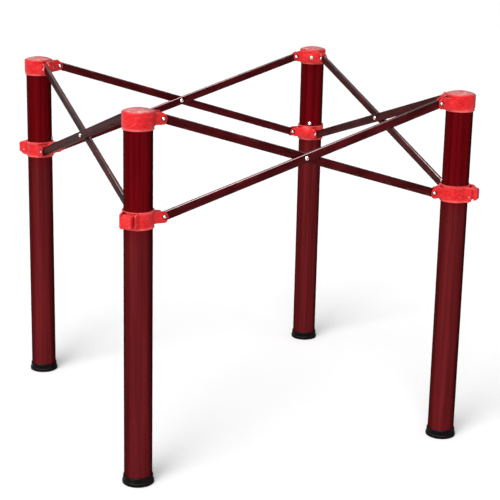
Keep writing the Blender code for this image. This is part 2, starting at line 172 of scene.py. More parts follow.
def lathe(name, profile, steps=96):
    """A closed profile of (radius, height) points turned about Z."""
    bm = bmesh.new()
    verts = [bm.verts.new((r, 0.0, z)) for r, z in profile]
    edges = []
    for a, b in zip(verts, verts[1:] + verts[:1]):
        if a.co.x > 1e-7 or b.co.x > 1e-7:
            edges.append(bm.edges.new((a, b)))
    bmesh.ops.spin(
        bm, geom=verts + edges, cent=(0, 0, 0), axis=(0, 0, 1), angle=2 * math.pi, steps=steps,
    )
    return solid(bm, name)


def prism(name, outline, low, high, place=Matrix.Identity(4), bevel=0.0, segments=3):
    """An outline raised from low to high along Z, its two rims rounded, then placed."""
    bm = bmesh.new()
    base = bm.faces.new([bm.verts.new((p[0], p[1], low)) for p in outline])
    raised = bmesh.ops.extrude_face_region(bm, geom=[base])["geom"]
    top = [v for v in raised if isinstance(v, bmesh.types.BMVert)]
    bmesh.ops.translate(bm, vec=(0, 0, high - low), verts=top)
    if bevel:
        rims = [e for e in bm.edges if abs(e.verts[0].co.z - e.verts[1].co.z) < 1e-9]
        bmesh.ops.bevel(
            bm, geom=rims, offset=bevel, segments=segments, profile=0.5, affect="EDGES",
            clamp_overlap=True,
        )
    bmesh.ops.transform(bm, matrix=place, verts=bm.verts)
    return solid(bm, name)


def rod(name, radius, start, end, steps=32):
    """A round rod between two points."""
    start, end = Vector(start), Vector(end)
    bm = bmesh.new()
    bmesh.ops.create_cone(
        bm, cap_ends=True, segments=steps, radius1=radius, radius2=radius,
        depth=(end - start).length,
    )
    aim = (end - start).to_track_quat("Z", "Y").to_matrix().to_4x4()
    bmesh.ops.transform(bm, matrix=Matrix.Translation((start + end) / 2) @ aim, verts=bm.verts)
    return solid(bm, name)


def moved(mesh, matrix):
    """A copy of a mesh, transformed."""
    made = mesh.copy()
    made.transform(matrix)
    return made


def combine(name, base, joined=(), cut=(), crease=32.0):
    """Meshes joined to and cut from a base mesh, as one clean mesh."""
    scene = bpy.context.scene.collection
    work = bpy.data.objects.new("work", base)
    scene.objects.link(work)
    tools = []
    for operation, meshes in (("UNION", joined), ("DIFFERENCE", cut)):
        for mesh in meshes:
            tool = bpy.data.objects.new("tool", mesh)
            scene.objects.link(tool)
            tools.append(tool)
            modifier = work.modifiers.new("cut", "BOOLEAN")
            modifier.operation = operation
            modifier.solver = "EXACT"
            modifier.object = tool
    graph = bpy.context.evaluated_depsgraph_get()
    bm = bmesh.new()
    bm.from_mesh(bpy.data.meshes.new_from_object(work.evaluated_get(graph)))
    for made in tools + [work]:
        bpy.data.objects.remove(made)
    bmesh.ops.dissolve_degenerate(bm, dist=1e-6, edges=bm.edges)
    mesh = solid(bm, name)
    mesh.shade_smooth()
    mesh.set_sharp_from_angle(angle=math.radians(crease))
    return mesh


# ---------------------------------------------------------------- moulded plastic

RIM_OUTLINE = [
    (0.0, -0.0012, 0.0), (0.0064, -0.0012, 0.0), (0.0064, 0.0003, 0.0002),
    (0.0058, 0.0005, 0.0002), (0.0, 0.0005, 0.0),
]


def ear_parts(pivot_z, slot_y, inner_side, inner_half, shoulder):
    """The clevis ear along +X: a tall outward cheek and a lower, tapered inward one, the block
    between their roots, the raised rims round the rivet, its hole and its counterbores.
    inner_side says which cheek faces inwards; it is inner_half high each way at its tip, and
    its top rises to shoulder at its root. Returns the shapes to join and to cut."""
    tip, bend = EAR_TIP, 0.0345
    low, high = pivot_z - EAR_DOWN, pivot_z + EAR_UP
    outward = rounded(
        [
            (ROOT_R, low, 0.0),
            (tip, low, 0.0060),
            (tip, high, 0.0086),
            (ROOT_R, high, 0.0),
        ],
        step=math.radians(11.25),
    )
    inward = rounded(
        [
            (ROOT_R, low + 0.0006, 0.0),
            (bend, low + 0.0006, 0.0060),
            (tip - 0.0004, pivot_z - inner_half, 0.0055),
            (tip - 0.0004, pivot_z + inner_half, 0.0055),
            (bend, pivot_z + (EAR_UP - 0.0006 + shoulder) / 2, 0.0060),
            (ROOT_R, pivot_z + shoulder, 0.0),
        ],
        step=math.radians(11.25),
    )
    joined, cut = [], []
    for side in (-1, 1):
        inside = -slot_y + side * SLOT / 2
        outside = inside + side * CHEEK
        outline = inward if side == inner_side else outward
        joined.append(
            prism(
                "cheek", outline, min(inside, outside), max(inside, outside), UPRIGHT, 0.0007,
            )
        )
        face = slot_y - side * (SLOT / 2 + CHEEK)
        turn = Matrix.Rotation(math.radians(90.0 * side), 4, "X")
        joined.append(
            moved(
                lathe("rim", rounded(RIM_OUTLINE, closed=False), 48),
                Matrix.Translation((OUT, face, pivot_z)) @ turn,
            )
        )
        cut.append(
            rod(
                "counterbore", 0.0051, (OUT, face + side * 0.0014, pivot_z),
                (OUT, face - side * 0.004, pivot_z), 40,
            )
        )
    root = rounded(
        [
            (ROOT_R, low + 0.0004, 0.0),
            (0.0336, low + 0.0004, 0.0016),
            (0.0336, high - 0.0004, 0.0016),
            (ROOT_R, high - 0.0004, 0.0),
        ]
    )
    joined.append(
        prism("root", root, -slot_y - SLOT / 2 - 0.001, -slot_y + SLOT / 2 + 0.001, UPRIGHT)
    )
    cut.append(
        rod("hole", RIVET_HOLE_R, (OUT, slot_y - 0.02, pivot_z), (OUT, slot_y + 0.02, pivot_z), 24)
    )
    return joined, cut


def outer_fillet(pivot_z, face_y, wall):
    """The blend from an ear's outward cheek along +X into a round wall of a given radius."""
    start = Vector((0.0365, face_y))
    angle = math.asin(face_y / wall) - math.radians(15.0)
    end = Vector((math.cos(angle), math.sin(angle))) * (wall - 0.00004)
    pull = Vector(((wall - face_y * math.sin(angle)) / math.cos(angle), face_y))
    outline = bezier(start, pull, end, 12)
    outline += [end * 0.94, Vector((0.0240, face_y + 0.0012)), Vector((0.0350, face_y + 0.0016))]
    return prism(
        "outer_fillet", outline, pivot_z - EAR_DOWN + 0.0005, pivot_z + EAR_UP - 0.0005,
    )


def web(pivot_z, face_y, face_x, crest):
    """The smooth panel between the two inner cheeks, up to crest above their pivots."""
    start, end = Vector((0.0415, face_y)), Vector((face_x, 0.0415))
    pull = 2.0 * Vector((INNER.x, INNER.y)) * 0.0300 - (start + end) / 2
    outline = bezier(start, pull, end, 22)
    outline += [Vector((face_x - 0.0016, 0.0260)), Vector((0.012, 0.012))]
    outline.append(Vector((0.0260, face_y - 0.0016)))
    return prism(
        "web", outline, pivot_z - EAR_DOWN + 0.0006, pivot_z + crest - 0.0006, bevel=0.0009,
    )


def boss(pivot_z, reach, wide, high):
    """The convex swelling on the inner diagonal, between the two ears."""
    bm = bmesh.new()
    bmesh.ops.create_uvsphere(bm, u_segments=64, v_segments=40, radius=1.0)
    sunk = 0.0230
    spot = Matrix.Translation(INNER * sunk + Vector((0.0, 0.0, pivot_z)))
    turn = Matrix.Rotation(math.radians(45.0), 4, "Z")
    stretch = Matrix.Diagonal((reach - sunk, wide, high, 1.0))
    bmesh.ops.transform(bm, matrix=spot @ turn @ stretch, verts=bm.verts)
    return solid(bm, "boss")


def clevis_pair(pivot_z, x_slot, y_slot, wall, inner_half, shoulder, crest=EAR_UP):
    """Both ears of a cap or a collar, with their slots at x_slot and y_slot from the leg's
    axis, and their blends into its wall."""
    half = SLOT / 2 + CHEEK
    joined, cut = ear_parts(pivot_z, x_slot, -1, inner_half, shoulder)
    other, other_cut = ear_parts(pivot_z, -y_slot, 1, inner_half, shoulder)
    joined.append(outer_fillet(pivot_z, x_slot - half, wall))
    side = outer_fillet(pivot_z, y_slot - half, wall)
    side.transform(Matrix.Diagonal((1, -1, 1, 1)))
    side.flip_normals()
    other.append(side)
    joined += [moved(m, QUARTER) for m in other]
    cut += [moved(m, QUARTER) for m in other_cut]
    joined.append(web(pivot_z, x_slot + half, y_slot + half, crest))
    return joined, cut


def dome(radius, rise, top, count=10):
    """Points of a shallow dome from its crown out to a radius."""
    points = []
    for i in range(count + 1):
        r = radius * i / count
        points.append((r, top - rise * (r / radius) ** 2, 0.0))
    return points


# The cap: a low dome, a groove inside its rim, a wall that tapers down, and a bottom bead.
cap_outline = dome(0.0252, 0.0046, CAP_HIGH) + [
    (0.0256, CAP_HIGH - 0.0055, 0.0003),
    (0.0266, CAP_HIGH - 0.0053, 0.0005),
    (CAP_R, CAP_HIGH - 0.0066, 0.0013),
    (CAP_R, CAP_LOW + 0.0072, 0.0060),
    (0.0267, CAP_LOW + 0.0026, 0.0008),
    (0.0267, CAP_LOW + 0.0018, 0.0003),
    (0.0272, CAP_LOW + 0.0015, 0.0004),
    (0.0272, CAP_LOW, 0.0006),
    (0.0, CAP_LOW, 0.0),
]
cap_shell = lathe("cap_shell", rounded(cap_outline, closed=False))
cap_joined, cap_cut = clevis_pair(CAP_Z, PLANE, -PLANE, CAP_R, 0.0080, 0.0138, 0.0138)
cap_joined.append(boss(CAP_Z - 0.0004, 0.0322, 0.0180, 0.0120))
SCREW_SEAT = FIXING * 0.0298 + Vector((0.0, 0.0, 0.6495))
cap_cut += [
    rod("cap_bore", BORE_R, (0, 0, CAP_LOW - 0.004), (0, 0, TUBE_HIGH + 0.0004), 96),
    rod("screw_seat", 0.0046, SCREW_SEAT, SCREW_SEAT + FIXING * 0.008, 40),
    rod("screw_hole", RIVET_HOLE_R, SCREW_SEAT - FIXING * 0.0033, SCREW_SEAT + FIXING * 0.001, 24),
]
cap_mesh = combine("moulded_cap", cap_shell, cap_joined, cap_cut)

# The collar: a ring with a bead at its top and bottom, and the two cheeks of the latch.
collar_outline = [
    (0.0, COLLAR_HIGH, 0.0),
    (0.0278, COLLAR_HIGH, 0.0007),
    (0.0278, COLLAR_HIGH - 0.0016, 0.0006),
    (COLLAR_R, COLLAR_HIGH - 0.0024, 0.0006),
    (COLLAR_R, COLLAR_LOW + 0.0024, 0.0006),
    (0.0277, COLLAR_LOW + 0.0016, 0.0005),
    (0.0277, COLLAR_LOW, 0.0007),
    (0.0, COLLAR_LOW, 0.0),
]
collar_shell = lathe("collar_shell", rounded(collar_outline, closed=False))
collar_joined, collar_cut = clevis_pair(COLLAR_Z, -PLANE, PLANE, COLLAR_R, 0.0062, 0.0097)
collar_joined.append(boss(COLLAR_Z, 0.0350, 0.0190, 0.0146))

LATCH_PLANE = TO_LATCH @ UPRIGHT
LEFT_CHEEK = (0.0150, 0.0180)
RIGHT_CHEEK = (-0.0130, -0.0100)
LEVER_SIDES = (-0.0075, 0.0120)
PIN_R = 0.0315
PIN_Z = middle("lever_pin_front_left").z
latch_outline = rounded(
    [
        (0.0205, COLLAR_LOW + 0.0010, 0.0),
        (0.0305, COLLAR_LOW + 0.0010, 0.0030),
        (0.0360, COLLAR_LOW + 0.0040, 0.0030),
        (0.0360, COLLAR_HIGH - 0.0030, 0.0036),
        (0.0305, COLLAR_HIGH - 0.0008, 0.0030),
        (0.0205, COLLAR_HIGH - 0.0008, 0.0),
    ]
)
for low, high in (LEFT_CHEEK, RIGHT_CHEEK):
    collar_joined.append(prism("latch_cheek", latch_outline, low, high, LATCH_PLANE, 0.0008))


def latch_rod(name, radius, low, high, steps=24):
    """A rod along the lever's pin, between two distances from the latch's middle."""
    ends = [LATCH_PLANE @ Vector((PIN_R, PIN_Z, along)) for along in (low, high)]
    return rod(name, radius, ends[0], ends[1], steps)


peg_gap = rounded(
    [(0.0215, -0.0030, 0.0), (0.0300, -0.0030, 0.0), (0.0300, 0.0030, 0.0), (0.0215, 0.0030, 0.0)]
)
collar_cut += [
    rod("collar_bore", BORE_R, (0, 0, COLLAR_LOW - 0.004), (0, 0, COLLAR_HIGH + 0.004), 96),
    latch_rod("pin_hole", PIN_HOLE_R, -0.03, 0.03),
    prism("peg_gap", peg_gap, PIN_Z + 0.0087, PIN_Z + 0.0159, TO_LATCH),
]
collar_mesh = combine("slide_collar", collar_shell, collar_joined, collar_cut)


def lever():
    """The thumb lever: a ribbed pad, its arm with a hub round the pin, and the lock peg."""
    outline = [
        (0.0290, PIN_Z + 0.0140, 0.0008),
        (0.0314, PIN_Z + 0.0165, 0.0010),
        (0.0340, PIN_Z + 0.0165, 0.0012),
        (0.0436, PIN_Z + 0.0135, 0.0014),
    ]
    ribs, rib_depth, pad_face = 5, 0.0007, 0.0449
    low, high = PIN_Z - 0.0042, PIN_Z + 0.0112
    for i in range(ribs * 6 + 1):
        share = i / (ribs * 6)
        wave = 0.5 - 0.5 * math.cos(2 * math.pi * ribs * share)
        outline.append((pad_face - rib_depth * (1 - wave), high + (low - high) * share, 0.0))
    outline += [
        (0.0438, PIN_Z - 0.0056, 0.0008),
        (0.0384, PIN_Z - 0.0069, 0.0006),
        (0.0384, PIN_Z - 0.0026, 0.0008),
        (0.0305, PIN_Z - 0.0026, 0.0010),
        (0.0290, PIN_Z - 0.0010, 0.0004),
    ]
    body = prism("lever_body", rounded(outline), *LEVER_SIDES, LATCH_PLANE, 0.0006, 2)
    peg_outline = [
        (0.0253, PIN_Z + 0.0095, 0.0006),
        (0.0300, PIN_Z + 0.0095, 0.0),
        (0.0300, PIN_Z + 0.0133, 0.0),
        (0.0253, PIN_Z + 0.0133, 0.0010),
    ]
    peg = prism("peg", rounded(peg_outline), -0.0025, 0.0025, LATCH_PLANE, 0.0004, 2)
    hubs = [
        latch_rod("hub", 0.0024, RIGHT_CHEEK[1] + 0.0002, LEVER_SIDES[0] + 0.0005),
        latch_rod("hub", 0.0024, LEVER_SIDES[1] - 0.0005, LEFT_CHEEK[0] - 0.0002),
    ]
    bore = latch_rod("lever_bore", PIN_HOLE_R, -0.03, 0.03)
    return combine("thumb_lever", body, [peg] + hubs, [bore])


lever_mesh = lever()


# ---------------------------------------------------------------- metal and rubber

def drilled(name, radius, way, height, steps):
    """A cutter for a hole in the tube's wall, facing a level direction, at a height."""
    lift = Vector((0.0, 0.0, height))
    return rod(name, radius, way * 0.020 + lift, way * 0.030 + lift, steps)


def tube():
    """The leg's round tube, with its lock hole and the hole of its stop rivet."""
    wall = TUBE_R - TUBE_WALL
    outline = [
        (wall, TUBE_LOW, 0.0003), (TUBE_R, TUBE_LOW, 0.0005),
        (TUBE_R, TUBE_HIGH, 0.0005), (wall, TUBE_HIGH, 0.0003),
    ]
    body = lathe("tube_body", rounded(outline), 128)
    holes = [
        drilled("lock_hole", 0.0035, -INNER, LOCK_HOLE_Z, 28),
        drilled("stop_hole", 0.0022, FIXING, middle("stop_rivet_front_left").z, 24),
    ]
    return combine("enamel_tube", body, cut=holes)


def rivet(name, half_grip, sink=0.0, tail=1.0, wide=1.0):
    """A pop rivet along Z: domed heads, hollow where the mandrel broke off. The heads seat
    half_grip either side of its middle, less sink. tail scales the far head's radius, and
    wide scales both."""
    outline = []
    seat = half_grip + 0.0001 - sink
    for side, reach in ((1.0, 1.0), (-1.0, tail)):
        head = [
            (0.0, seat + 0.0004), (0.0013, seat + 0.0005), (0.0014, seat + 0.0018),
            (0.0017, seat + 0.0020), (0.0023, seat + 0.0018), (0.0030, seat + 0.0013),
            (0.0036, seat + 0.0006), (0.0039, seat + 0.0001), (0.0038, seat), (0.0020, seat),
        ]
        reach *= wide
        head = [(r * (reach if r > 0.0020 else 1.0), z * side) for r, z in head]
        outline += head if side > 0 else head[::-1]
    return combine(name, lathe(name, outline, 40), crease=40.0)


def brace(length, holes):
    """A rectangular tube with rounded corners along X, with its three rivet holes."""
    high, wide, wall = BAR_HEIGHT / 2, BAR_WIDTH / 2, 0.0010
    outer = rounded(
        [(-high, -wide, 0.0020), (high, -wide, 0.0020), (high, wide, 0.0020),
         (-high, wide, 0.0020)]
    )
    inner = rounded(
        [(-high + wall, -wide + wall, 0.0006), (high - wall, -wide + wall, 0.0006),
         (high - wall, wide - wall, 0.0006), (-high + wall, wide - wall, 0.0006)]
    )
    lay = Matrix.Rotation(math.radians(90.0), 4, "Y")
    body = prism("brace_body", outer, -length / 2, length / 2, lay, 0.0003, 2)
    hollow = prism("brace_hollow", inner, -length, length, lay)
    cut = [hollow]
    for along in holes:
        cut.append(rod("brace_hole", RIVET_HOLE_R, (along, -0.01, 0), (along, 0.01, 0), 24))
    return combine("brace_tube", body, cut=cut, crease=28.0)


def foot():
    """The rubber foot: a sleeve with a rolled rim, a flared base and a recess underneath."""
    outline = [
        (0.0, 0.0030, 0.0),
        (BORE_R, 0.0030, 0.0002),
        (BORE_R, 0.0160, 0.0002),
        (0.0258, 0.0163, 0.0002),
        (0.0267, 0.0150, 0.0006),
        (0.0268, 0.0076, 0.0006),
        (0.0272, 0.0066, 0.0005),
        (0.0283, 0.0060, 0.0010),
        (0.0283, 0.0010, 0.0010),
        (0.0262, 0.0, 0.0006),
        (0.0236, 0.0, 0.0003),
        (0.0232, 0.0008, 0.0003),
        (0.0180, 0.0008, 0.0003),
        (0.0176, 0.0, 0.0003),
        (0.0, 0.0, 0.0),
    ]
    return combine("rubber_foot", lathe("foot", rounded(outline, closed=False)))


SPRING_SEAT = Vector((0.0287, 0.0, middle("lever_spring_front_left").z))


def coil():
    """The lever's return spring, a wire wound along the outer diagonal from its seat."""
    low, high = SPRING_SEAT.x, 0.0379
    turns, per_turn, radius = 4, 20, 0.0017
    centre_z = SPRING_SEAT.z
    data = bpy.data.curves.new("coil", "CURVE")
    data.dimensions = "3D"
    data.bevel_depth = 0.0003
    data.bevel_resolution = 2
    data.resolution_u = 1
    data.use_fill_caps = True
    wire = data.splines.new("POLY")
    wire.points.add(turns * per_turn)
    for i, point in enumerate(wire.points):
        turn = 2 * math.pi * i / per_turn
        along = low + (high - low) * i / (turns * per_turn)
        spot = Vector((along, radius * math.cos(turn), centre_z + radius * math.sin(turn)))
        point.co = (*(TO_LATCH @ spot), 1.0)
    work = bpy.data.objects.new("coil", data)
    bpy.context.scene.collection.objects.link(work)
    graph = bpy.context.evaluated_depsgraph_get()
    bm = bmesh.new()
    bm.from_mesh(bpy.data.meshes.new_from_object(work.evaluated_get(graph)))
    bpy.data.objects.remove(work)
    mesh = solid(bm, "return_spring")
    mesh.shade_smooth()
    return mesh


def screw():
    """The pan-head screw that holds a cap on its tube, along Z, with a cross recess."""
    outline = [
        (0.0, 0.0021, 0.0), (0.0020, 0.0020, 0.0008), (0.0037, 0.0012, 0.0008),
        (0.0040, 0.0001, 0.0003), (0.0020, 0.0001, 0.0), (0.0020, -0.0030, 0.0004),
        (0.0, -0.0030, 0.0),
    ]
    body = lathe("screw_body", rounded(outline, closed=False), 40)
    half = 0.00040
    bar = [(-0.0021, -half), (0.0021, -half), (0.0021, half), (-0.0021, half)]
    slots = [prism("slot", bar, 0.0009, 0.003), prism("slot", bar, 0.0009, 0.003, QUARTER)]
    return combine("cap_screw", body, cut=slots)


def pin():
    """The lever's pin, across the latch's two cheeks."""
    low, high = RIGHT_CHEEK[0] + 0.0002, LEFT_CHEEK[1] - 0.0002
    outline = [(0.0, high, 0.0), (0.0015, high, 0.0004), (0.0015, low, 0.0004), (0.0, low, 0.0)]
    mesh = combine("hinge_pin", lathe("pin", rounded(outline, closed=False), 24))
    spot = LATCH_PLANE @ Vector((PIN_R, PIN_Z, 0.0))
    mesh.transform(Matrix.Translation(spot) @ LATCH_PLANE.to_3x3().to_4x4())
    return mesh


tube_mesh = tube()
foot_mesh = foot()
spring_mesh = coil()
screw_mesh = screw()
pin_mesh = pin()
end_rivet_mesh = rivet("pop_rivet", SLOT / 2 + CHEEK, sink=0.0014, wide=0.88)
cross_rivet_mesh = rivet("cross_rivet", PLANE + BAR_WIDTH / 2)
stop_rivet_mesh = rivet("stop_button", 0.0012, tail=0.72)

span = (middle("cap_rivet_front_b") - middle("cap_rivet_front_a")).x
rise = CAP_Z - COLLAR_Z
ARM = math.hypot(span, rise) / 2
SLOPE = math.atan2(rise, span)
brace_mesh = brace(2 * ARM + 0.010, (-ARM, 0.0, ARM))
side_brace_mesh = brace_mesh.copy()


# ---------------------------------------------------------------- materials

class Nodes:
    """A short way to wire one procedural material."""

    def __init__(self, name):
        self.material = bpy.data.materials.new(name)
        self.material.use_nodes = True
        self.tree = self.material.node_tree
        self.shader = self.tree.nodes["Principled BSDF"]
        self.coords = self.new("ShaderNodeTexCoord").outputs["Object"]

    def new(self, kind, **inputs):
        """A node with its inputs set by name, an underscore standing for a space."""
        node = self.tree.nodes.new(kind)
        for key, value in inputs.items():
            self.put(node.inputs[key.replace("_", " ")], value)
        return node

    def put(self, socket, value):
        """Links or sets one input."""
        if isinstance(value, bpy.types.NodeSocket):
            self.tree.links.new(value, socket)
        elif isinstance(value, tuple) and len(value) == 3 and socket.type == "RGBA":
            socket.default_value = (*value, 1.0)
        else:
            socket.default_value = value

    def noise(self, scale, stretch=(1, 1, 1), detail=4.0, roughness=0.55, shift=(0, 0, 0)):
        """Noise in the piece's own coordinates, stretched and shifted."""
        mapping = self.new("ShaderNodeMapping", Vector=self.coords, Scale=stretch)
        mapping.inputs["Location"].default_value = shift
        return self.new(
            "ShaderNodeTexNoise", Vector=mapping.outputs[0], Scale=scale, Detail=detail,
            Roughness=roughness,
        ).outputs["Fac"]

    def ramp(self, value, *stops):
        """A value sent through colour stops of (position, colour or grey)."""
        node = self.new("ShaderNodeValToRGB", Fac=value)
        stops = [(at, c if isinstance(c, tuple) else (c, c, c)) for at, c in stops]
        elements = node.color_ramp.elements
        while len(elements) < len(stops):
            elements.new(0.5)
        for element, (at, colour) in zip(elements, stops):
            element.position = at
            element.color = (*colour, 1.0)
        return node.outputs["Color"]

    def mix(self, share, a, b):
        """Colour a turning to colour b as share goes from 0 to 1."""
        node = self.new("ShaderNodeMix")
        node.data_type = "RGBA"
        self.put(node.inputs[0], share)
        self.put(node.inputs[6], a)
        self.put(node.inputs[7], b)
        return node.outputs[2]

    def maths(self, operation, a, b=0.0):
        """One Math node."""
        node = self.new("ShaderNodeMath")
        node.operation = operation
        self.put(node.inputs[0], a)
        self.put(node.inputs[1], b)
        return node.outputs[0]

    def vector(self, operation, a, b=None):
        """One Vector Math node."""
        node = self.new("ShaderNodeVectorMath")
        node.operation = operation
        self.put(node.inputs[0], a)
        if b is not None:
            self.put(node.inputs[1], b)
        return node

    def painted_crevice_shade(self, reach, dark, clear):
        """Grey that falls to 0 in the piece's own recesses and inner corners, the mask for painted
        shade there.
        """
        node = self.new("ShaderNodeAmbientOcclusion", Distance=reach)
        node.samples = 8
        node.only_local = True
        return self.ramp(node.outputs["AO"], (dark, 0.0), (clear, 1.0))

    def upward(self, low, high):
        """White where the surface faces up."""
        normal = self.new("ShaderNodeNewGeometry").outputs["Normal"]
        height = self.new("ShaderNodeSeparateXYZ", Vector=normal).outputs["Z"]
        return self.ramp(height, (low, 0.0), (high, 1.0))

    def facing(self, blend=0.5):
        """White where the surface turns away from the eye."""
        return self.new("ShaderNodeLayerWeight", Blend=blend).outputs["Facing"]

    def bump(self, strength, distance, *heights):
        """Stacks heights as bumps on the shader's normal."""
        normal = None
        for height in heights:
            node = self.new("ShaderNodeBump", Strength=strength, Distance=distance, Height=height)
            if normal is not None:
                self.put(node.inputs["Normal"], normal)
            normal = node.outputs["Normal"]
        self.put(self.shader.inputs["Normal"], normal)

    def edges(self, radius, low, high):
        """White along the piece's convex edges."""
        bevel = self.new("ShaderNodeBevel", Radius=radius)
        bevel.samples = 6
        geometry = self.new("ShaderNodeNewGeometry")
        dot = self.vector("DOT_PRODUCT", bevel.outputs[0], geometry.outputs["True Normal"])
        return self.ramp(dot.outputs["Value"], (low, 1.0), (high, 0.0))

    def set(self, **inputs):
        """Sets the shader's inputs by name and returns the material."""
        for key, value in inputs.items():
            self.put(self.shader.inputs[key.replace("_", " ")], value)
        return self.material


def tube_enamel():
    """Burgundy candy enamel: metallic, with fine drawn streaks and painted shade that turns it
    near black where it turns from the eye, and a little browner and duller below the locked
    collar."""
    n = Nodes("burgundy_enamel")
    height = n.new("ShaderNodeSeparateXYZ", Vector=n.coords).outputs["Z"]
    # Browner and duller below the locked collar, with scuffs there.
    below_collar = n.ramp(height, (0.440, 1.0), (0.492, 0.0))
    streaks = n.noise(9.0, (14, 14, 0.35), 5.0, 0.6)
    fine = n.noise(40.0, (16, 16, 0.12), 4.0, 0.7)
    clouds = n.noise(5.0, (1, 1, 0.5), 3.0)
    colour = n.mix(n.ramp(streaks, (0.32, 0.0), (0.68, 1.0)), (0.092, 0.0014, 0.0030),
                   (0.165, 0.0034, 0.0062))
    dull = n.mix(n.ramp(streaks, (0.32, 0.0), (0.68, 1.0)), (0.080, 0.0070, 0.0080),
                 (0.160, 0.0140, 0.0165))
    colour = n.mix(below_collar, colour, dull)
    colour = n.mix(n.ramp(clouds, (0.40, 0.0), (0.80, 0.4)), colour, (0.120, 0.012, 0.015))
    # Painted shade: near black where the tube turns from the eye.
    edge = n.ramp(n.facing(0.5), (0.60, 0.0), (0.93, 1.0))
    colour = n.mix(edge, colour, (0.012, 0.0008, 0.0011))
    scuffs = n.ramp(n.noise(60.0, (9, 9, 0.22), 6.0, 0.65), (0.66, 0.0), (0.74, 1.0))
    scuffs = n.maths("MULTIPLY", scuffs, below_collar)
    colour = n.mix(n.maths("MULTIPLY", scuffs, 0.35), colour, (0.260, 0.060, 0.060))
    rough = n.mix(below_collar, n.ramp(fine, (0.3, 0.20), (0.7, 0.32)),
                  n.ramp(fine, (0.3, 0.30), (0.7, 0.44)))
    n.bump(0.04, 0.0003, n.noise(700.0, detail=2.0), fine)
    return n.set(
        Base_Color=colour, Roughness=rough, Metallic=0.92, Specular_Tint=(0.12, 0.01, 0.015),
    )


def brace_enamel(name, dark, wear_and_highlight):
    """Thin dark maroon paint on drawn tube, mottled, with painted shade along its corners, and
    bare in places. The side braces get a greyer copy."""
    n = Nodes(name)
    mottle = n.noise(70.0, (0.30, 1, 1), 6.0, 0.70)
    clouds = n.noise(12.0, (0.4, 1, 1), 3.0)
    colour = n.mix(n.ramp(mottle, (0.35, 0.0), (0.70, 1.0)), dark, wear_and_highlight)
    colour = n.mix(n.ramp(clouds, (0.40, 0.0), (0.75, 0.5)), colour, (0.075, 0.014, 0.015))
    corners = n.edges(0.0022, 0.82, 0.998)
    sheen = n.upward(0.25, 0.55)
    # Painted shade: near black along the rounded corners. The pale chips below sit on the same
    # corners.
    colour = n.mix(n.maths("MULTIPLY", corners, 0.85), colour, (0.004, 0.0006, 0.0006))
    chips = n.maths("MULTIPLY", corners,
                    n.ramp(n.noise(90.0, detail=6.0), (0.56, 0.0), (0.62, 1.0)))
    colour = n.mix(n.maths("MULTIPLY", chips, 0.5), colour, (0.50, 0.30, 0.28))
    rough = n.ramp(mottle, (0.3, 0.26), (0.7, 0.40))
    n.bump(0.10, 0.0004, n.noise(420.0, detail=3.0), mottle)
    return n.set(
        Base_Color=colour, Roughness=rough, Metallic=0.70, Coat_Weight=sheen,
        Coat_Roughness=0.12, Coat_IOR=1.6, Specular_Tint=(0.30, 0.10, 0.10),
    )


